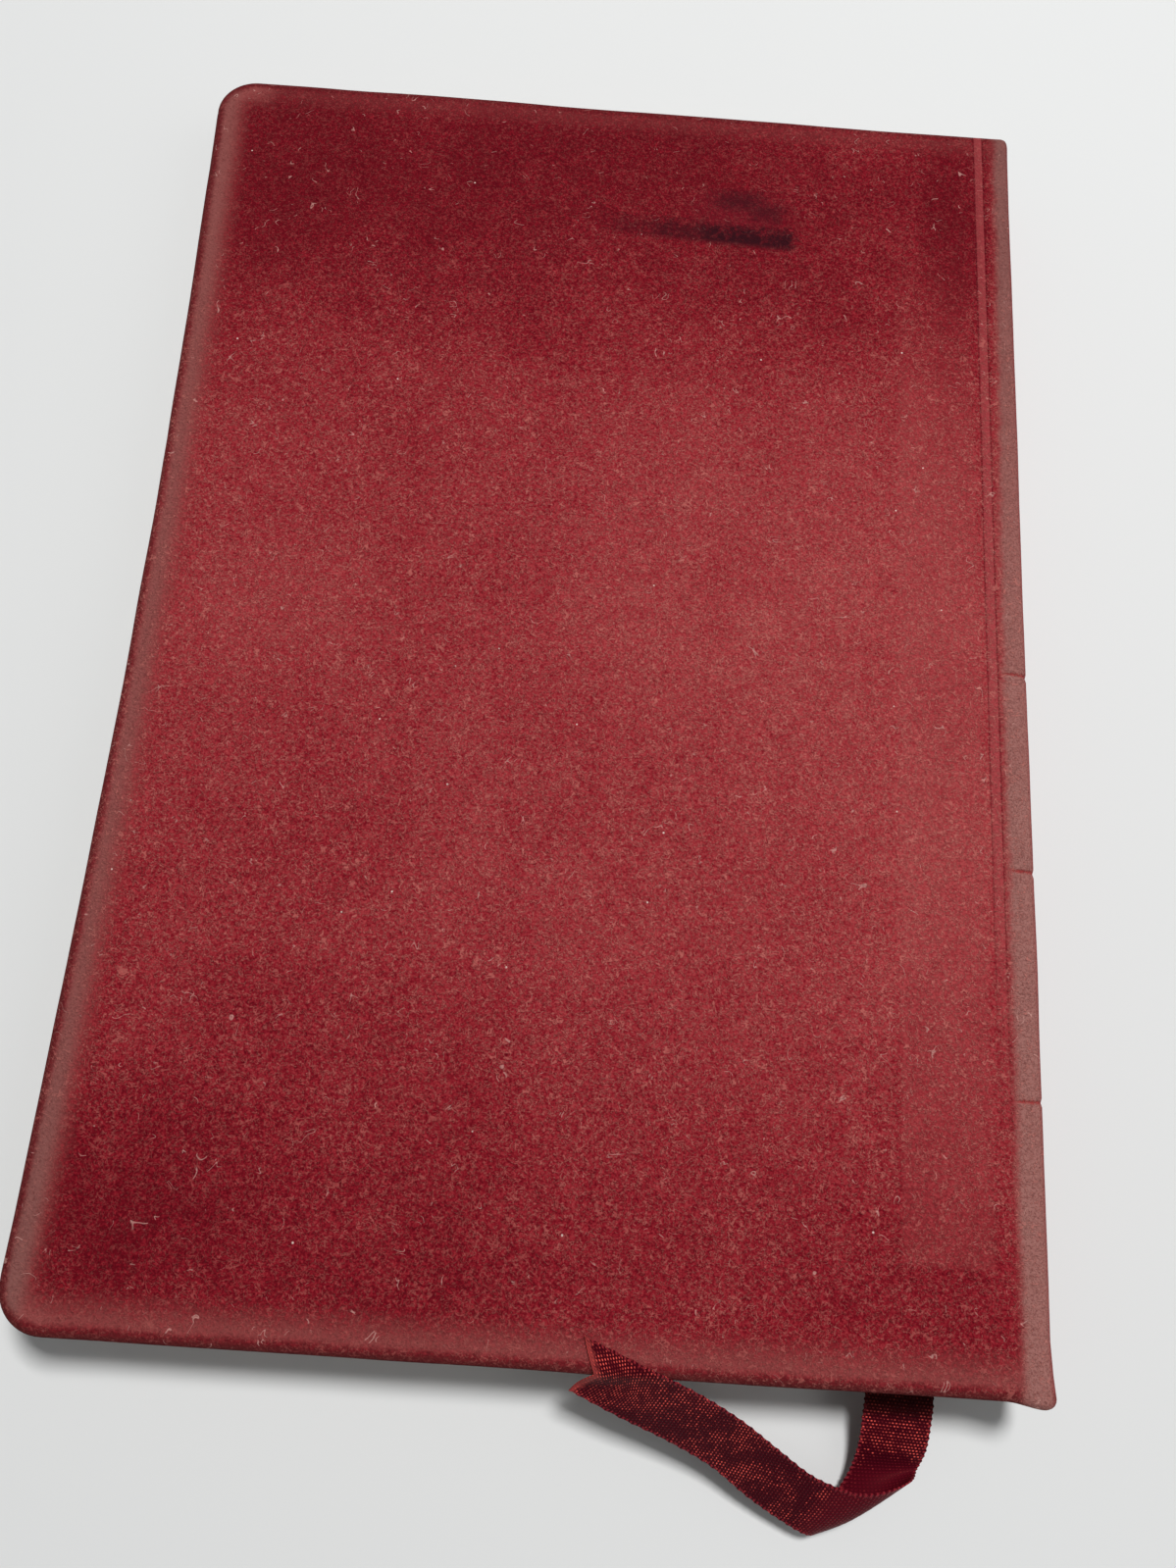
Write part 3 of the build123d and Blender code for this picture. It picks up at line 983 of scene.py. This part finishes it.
# %% [markdown]
# ## Headband and tailband
#
# The little striped rolls at both ends of the spine are thread worked round a core. One cylinder per end
# runs through both halves, its ends rounded, with beads of thread as real bulges and two colours wound in a
# spiral.


# %% Banded rolls
def banded(name):
    r = Recipe(name, Roughness=0.6, Sheen_Weight=0.3)
    low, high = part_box("headband_lower")
    core = (low + high) / 2 / MM
    turn = r.maths("ARCTAN2", abs(r.y) - core.y, r.x - core.x)
    wind = r.maths("SINE", r.z * 7.0 + turn)
    thread = r.noise(3.0, 2.0, 0.6, 0.3, (1, 1, 4))
    stripe = r.step(wind, -0.25, 0.25)
    colour = r.blend((0.30, 0.020, 0.026), (0.74, 0.66, 0.48), stripe)
    r.colour(r.blend(colour, (0.16, 0.05, 0.04), r.step(thread, 0.45, 0.7) * 0.4))
    r.rough(0.5 + thread * 0.3)
    r.raise_by(abs(wind) + thread * 0.3, 0.10, 0.8)
    return r.material


BANDS = banded("worked_thread_bands")


def end_band(kind):
    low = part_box(f"{kind}_lower")[0]
    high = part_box(f"{kind}_upper")[1]
    radius = (high.x - low.x) / 2
    bpy.ops.object.select_all(action="DESELECT")
    bpy.ops.mesh.primitive_cylinder_add(vertices=20, radius=radius, depth=high.z - low.z)
    roll = bpy.context.object
    roll.name = f"{kind}_roll"
    edit(roll)
    bpy.ops.mesh.select_all(action="SELECT")
    bpy.ops.transform.translate(value=(low + high) / 2)
    pick(lambda f: abs(f.normal.z) > 0.9, "FACE")
    bpy.ops.mesh.bevel(offset=0.35 * MM, segments=3, affect="EDGES")
    beads, waist = 36, 0.93
    for i in range(1, beads):
        cut(low.z + (high.z - low.z) * i / beads, 2)
    middle = (low + high) / 2
    for i in range(3, beads - 2, 2):
        level = low.z + (high.z - low.z) * i / beads
        pick(lambda v: near(v.co.z, level, TIGHT))
        bpy.ops.transform.resize(value=(waist, waist, 1), center_override=(middle.x, middle.y, level))
    done()
    roll.data.materials.append(BANDS)
    smooth(roll, 60)
    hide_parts(f"{kind}_lower", f"{kind}_upper")
    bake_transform(roll)


end_band("headband")
end_band("tailband")
print("bands made")

# %% [markdown]
# ## The satin ribbon
#
# The ribbon is glued at the head of the spine, runs down between the leaves and comes out of the tail, where
# it droops, rolls over on itself and comes back up so that its swallow-tailed end lies on the cover's edge. A
# ribbon bends easily along its length but never stretches, so it is a strip whose two long edges are guided
# along smooth curves. The strip keeps its own UV map, because the satin's rows follow the cloth and not the
# table.

# %% The route: middle of the ribbon, and the direction across it, station by station
RIBBON_WIDTH = 10 * MM
marker_low, marker_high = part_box("ribbon_marker")
RIBBON_LEVEL = marker_high.z - 0.05 * MM
HEAD_X = marker_high.x - RIBBON_WIDTH / 2
EXIT_X = marker_low.x + RIBBON_WIDTH / 2
# each station past the tail of the leaves: left edge, right edge, how far the middle bulges out of the roll
LOOSE_END = (
    ((50.1, -110.5, 7.0), (60.1, -110.8, 7.0), 0.0),
    ((50.0, -114.2, 6.0), (60.0, -114.6, 6.0), 0.0),
    ((49.8, -118.0, 4.6), (59.7, -118.4, 4.5), 0.0),
    ((49.0, -121.8, 2.9), (58.7, -121.3, 3.3), 0.2),
    ((47.5, -125.0, 1.7), (57.3, -122.3, 5.3), 0.9),
    ((45.7, -128.0, 1.2), (54.4, -123.2, 6.7), 1.4),
    ((44.6, -130.3, 1.9), (51.0, -123.9, 7.1), 1.2),
    ((42.6, -130.6, 3.4), (47.4, -123.6, 7.4), 0.6),
    ((38.4, -128.6, 4.2), (42.2, -121.7, 8.4), 0.2),
    ((33.4, -125.6, 5.2), (36.9, -118.2, 10.0), 0.0),
    ((27.9, -121.6, 7.0), (31.4, -114.4, 12.0), 0.0),
    ((21.4, -118.2, 9.0), (25.4, -111.1, 14.0), 0.0),
    ((14.0, -115.0, 11.0), (17.6, -107.6, 16.3), 0.0),
    ((6.6, -111.6, 12.6), (8.2, -103.9, 16.5), 0.0),
)
ROLL_OUTWARD = Vector((0.50, -0.86, 0.0))
EDGE_CLEARANCE = 0.35 * MM
ACROSS = 12
INSIDE_STATIONS = 12
STEPS_INSIDE = 4
STEPS_OUTSIDE = 12


# %% A smooth curve through chosen points
def through(points, counts):
    """Points along a smooth curve that passes through every chosen point, with so many steps in each run."""
    line = []
    last = len(points) - 1
    for i in range(last):
        a, b = points[max(i - 1, 0)], points[i]
        c, d = points[i + 1], points[min(i + 2, last)]
        for k in range(counts[i]):
            t = k / counts[i]
            bend = (2 * a - 5 * b + 4 * c - d) * t * t + (3 * b - a - 3 * c + d) * t ** 3
            line.append(0.5 * (2 * b + (c - a) * t + bend))
    line.append(points[last].copy())
    return line


# %% The strip: rows of points across the ribbon, lifted clear of the cover's edge
def over_the_edge(point):
    """The tip lies on the cover: near the tail edge the cloth bends over the rounded rim, not through it."""
    beyond = -HALF + RIM_ROUND - point.y
    level = TOP + EDGE_CLEARANCE
    if beyond > 0:
        level -= (beyond / (RIM_ROUND + 1.2 * MM)) ** 2 * 2.6 * MM
    if beyond < RIM_ROUND + 1.6 * MM and point.z > MID_Z:
        point.z = max(point.z, level)
    return point


def ribbon_rows():
    half_width = Vector((RIBBON_WIDTH / 2, 0, 0))
    left, right, bulge = [], [], []
    for i in range(INSIDE_STATIONS):
        t = i / (INSIDE_STATIONS - 1)
        middle = Vector((HEAD_X + (EXIT_X - HEAD_X) * t, marker_high.y * (1 - 2 * t), RIBBON_LEVEL))
        left.append(middle - half_width)
        right.append(middle + half_width)
        bulge.append(Vector((0, 0, 0)))
    for left_edge, right_edge, outward in LOOSE_END:
        left.append(Vector(left_edge) * MM)
        right.append(Vector(right_edge) * MM)
        bulge.append(ROLL_OUTWARD * outward * MM)
    counts = [STEPS_INSIDE] * (INSIDE_STATIONS - 1) + [STEPS_OUTSIDE] * len(LOOSE_END)
    rows = []
    for a, b, out in zip(through(left, counts), through(right, counts), through(bulge, counts)):
        row = []
        for column in range(ACROSS + 1):
            share = column / ACROSS
            row.append(over_the_edge(a + (b - a) * share + out * 4 * share * (1 - share)))
        rows.append(row)
    return rows


def ribbon_strip():
    rows = ribbon_rows()
    travelled = [0.0]
    for before, after in zip(rows, rows[1:]):
        travelled.append(travelled[-1] + (after[ACROSS // 2] - before[ACROSS // 2]).length)
    bpy.ops.object.select_all(action="DESELECT")
    steps_along = len(rows) - 1
    bpy.ops.mesh.primitive_grid_add(x_subdivisions=ACROSS, y_subdivisions=steps_along, size=1, calc_uvs=True)
    strip = bpy.context.object
    strip.name = "satin_ribbon"
    for i, v in enumerate(strip.data.vertices):
        v.co = rows[i // (ACROSS + 1)][i % (ACROSS + 1)]
    layer = strip.data.uv_layers.active.data
    for loop in strip.data.loops:
        row, column = divmod(loop.vertex_index, ACROSS + 1)
        layer[loop.index].uv = (column / ACROSS, travelled[row] / travelled[-1])
    return strip, travelled[-1]


ribbon, ribbon_length = ribbon_strip()
print("ribbon length mm", round(ribbon_length / MM, 1), "vertices", len(ribbon.data.vertices))

# %% [markdown]
# The cut end is a swallow tail, cut so that it frays less. Pushing the middle of the last rows back along the
# ribbon gives the notch. A thin solid then gives the ribbon its woven thickness and raised selvedges.


# %% Swallow tail and picot edges
def swallow_tail(strip, rows_back=16, depth=3.4 * MM):
    per_row = ACROSS + 1
    vertices = strip.data.vertices
    rows = len(vertices) // per_row
    first = (rows - 1 - rows_back) * per_row
    for column in range(per_row):
        line = [vertices[first + k * per_row + column].co.copy() for k in range(rows_back + 1)]
        notch = (1 - abs(2 * column / ACROSS - 1)) * depth
        run = sum((b - a).length for a, b in zip(line, line[1:]))
        keep = 1 - notch / run
        for k in range(rows_back + 1):
            at = k * keep
            whole = min(int(at), rows_back - 1)
            vertices[first + k * per_row + column].co = line[whole].lerp(line[whole + 1], at - whole)


def picot_edges(strip, reach=0.16 * MM):
    """Every third row, the selvedge's little loops stand out a fraction of a millimetre."""
    per_row = ACROSS + 1
    vertices = strip.data.vertices
    for row in range(STEPS_INSIDE * (INSIDE_STATIONS - 1), len(vertices) // per_row, 3):
        for edge, inner in ((0, 1), (ACROSS, ACROSS - 1)):
            a = vertices[row * per_row + edge]
            b = vertices[row * per_row + inner]
            a.co += (a.co - b.co).normalized() * reach


# %% Satin: rows of tiny floats that catch the light in patches
ROWS_PER_MM = 2.0
DOTS_PER_MM = 1.9
ROLL_FROM_TIP = 50.0


def run_past_the_leaves():
    """Millimetres of ribbon beyond the place where the leaves let go of it. Further in, a painted shadow of
    the cover darkens it.
    """
    middles = [(Vector(left) + Vector(right)) / 2 for left, right, _ in LOOSE_END[1:]]
    return round(sum((b - a).length for a, b in zip(middles, middles[1:])))


def satin(name, length_mm):
    r = Recipe(name, Roughness=0.5, Sheen_Weight=0.03)
    r.shader.inputs["Specular IOR Level"].default_value = 0.12
    for tint in ("Specular Tint", "Sheen Tint"):
        r.shader.inputs[tint].default_value = (1.0, 0.26, 0.22, 1.0)
    uv = r.node("ShaderNodeUVMap")
    across, along, _ = r.parts(uv.outputs["UV"])
    width = RIBBON_WIDTH / MM
    across = across * width
    along = along * length_mm
    rows = r.maths("FLOOR", along * ROWS_PER_MM)
    stagger = r.maths("FRACT", rows * 0.5)
    u = r.maths("FRACT", across * DOTS_PER_MM + stagger) - 0.5
    v = r.maths("FRACT", along * ROWS_PER_MM) - 0.5
    dot = r.step(u * u * 1.6 + v * v * 3.0, 0.24, 0.04)
    # patches where the floats catch the light: painted glints
    patch = r.noise(0.11, 4.0, 0.62, 0.6, seed=1.0)
    spark = r.noise(1.9, 1.0, 0.5, 0.0, seed=8.0)
    # the roll of the ribbon: fewer glints, and painted paler as sheen on the rounded fold
    folded = r.step(abs(along - (length_mm - ROLL_FROM_TIP)), 9.5, 5.5)
    at_tip = r.step(along, length_mm - 24.0, length_mm - 10.0)
    share = r.step(patch + (spark - 0.5) * 0.45 + at_tip * 0.10, 0.46, 0.58) * (1.0 - folded * 0.90)
    cluster = r.noise(0.85, 2.0, 0.65, 0.3, seed=13.0)
    lit = dot * share * (0.12 + r.step(cluster, 0.40, 0.60) * 0.88)
    from_middle = abs(across - width / 2)
    selvedge = r.step(from_middle, width / 2 - 0.55, width / 2 - 0.25)
    stitch = r.step(r.maths("SINE", along * 9.0), -0.3, 0.4)
    frayed = r.step(along + (spark - 0.5) * 1.4, length_mm - 1.3, length_mm - 0.3)
    # painted sheen: the dots, the glinting patches and the rounded roll are painted paler
    sheen = dot * 0.55 + share * 0.10 + folded * 0.35
    colour = r.blend((0.040, 0.0008, 0.0050), (0.135, 0.0045, 0.0130), sheen)
    # painted glints: the lit floats painted bright orange
    colour = r.blend(colour, (1.00, 0.125, 0.095), lit * 0.95)
    colour = r.blend(colour, (0.30, 0.022, 0.034), selvedge * stitch * 0.75)
    colour = r.blend(colour, (0.42, 0.060, 0.055), frayed * 0.6)
    exit_at = length_mm - run_past_the_leaves()
    # painted shadow where the ribbon comes out under the cover's edge
    shadow_under_cover = r.step(along, exit_at - 1.2, exit_at - 3.6)
    colour = r.blend(colour, (0.010, 0.0004, 0.0010), shadow_under_cover * 0.8)
    r.colour(colour)
    r.rough(0.55 - dot * 0.20)
    r.raise_by(dot + selvedge * stitch, 0.10, 0.9)
    return r.material


swallow_tail(ribbon)
picot_edges(ribbon)
modify(ribbon, "SOLIDIFY", thickness=0.22 * MM, offset=0.0)
ribbon.data.materials.append(satin("burgundy_satin", ribbon_length / MM))
smooth(ribbon, 60)
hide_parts("ribbon_marker", "ribbon_tail")
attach(ribbon, "lower_block")

# %% [markdown]
# ## Table, light and camera
#
# A plain pale table, a soft light from beyond the head of the album, a weaker one from the spine's side and a
# little light from all round. The camera stands close above the tail, like a phone held over the album, so
# the near end looks wider.

# %% The table
bpy.ops.object.select_all(action="DESELECT")
bpy.ops.mesh.primitive_plane_add(size=6)
table = bpy.context.object
table.name = "pale_table"
surface = Recipe("pale_table_top", Roughness=0.8)
surface.colour((0.71, 0.715, 0.71))
table.data.materials.append(surface.material)


# %% Lights
def soft_light(name, place, size, power):
    """A square lamp that points at the album."""
    data = bpy.data.lights.new(name, "AREA")
    data.shape = "SQUARE"
    data.size = size
    data.energy = power
    lamp = bpy.data.objects.new(name, data)
    bpy.context.scene.collection.objects.link(lamp)
    lamp.location = place
    lamp.rotation_euler = (-Vector(place)).to_track_quat("-Z", "Y").to_euler()


soft_light("window_beyond_the_head", (0.28, 0.62, 1.60), size=0.32, power=28.5)
soft_light("fill_from_the_spine_side", (1.0, -0.3, 1.0), size=0.9, power=2.2)
world = bpy.data.worlds.new("soft_room")
bpy.context.scene.world = world
world.use_nodes = True
sky = world.node_tree.nodes["Background"].inputs
sky["Color"].default_value = (0.95, 0.98, 1.0, 1.0)
sky["Strength"].default_value = 0.15

# %% Camera
camera_data = bpy.data.cameras.new("close_phone_view")
camera_data.lens = 26.1
camera_data.sensor_width = 36
camera_data.clip_start = 0.01
camera = bpy.data.objects.new("close_phone_view", camera_data)
bpy.context.scene.collection.objects.link(camera)
camera.location = (0.00165, -0.0710, 0.1901)
camera.rotation_euler = (math.radians(15.09), math.radians(-1.58), math.radians(3.79))
bpy.context.scene.camera = camera
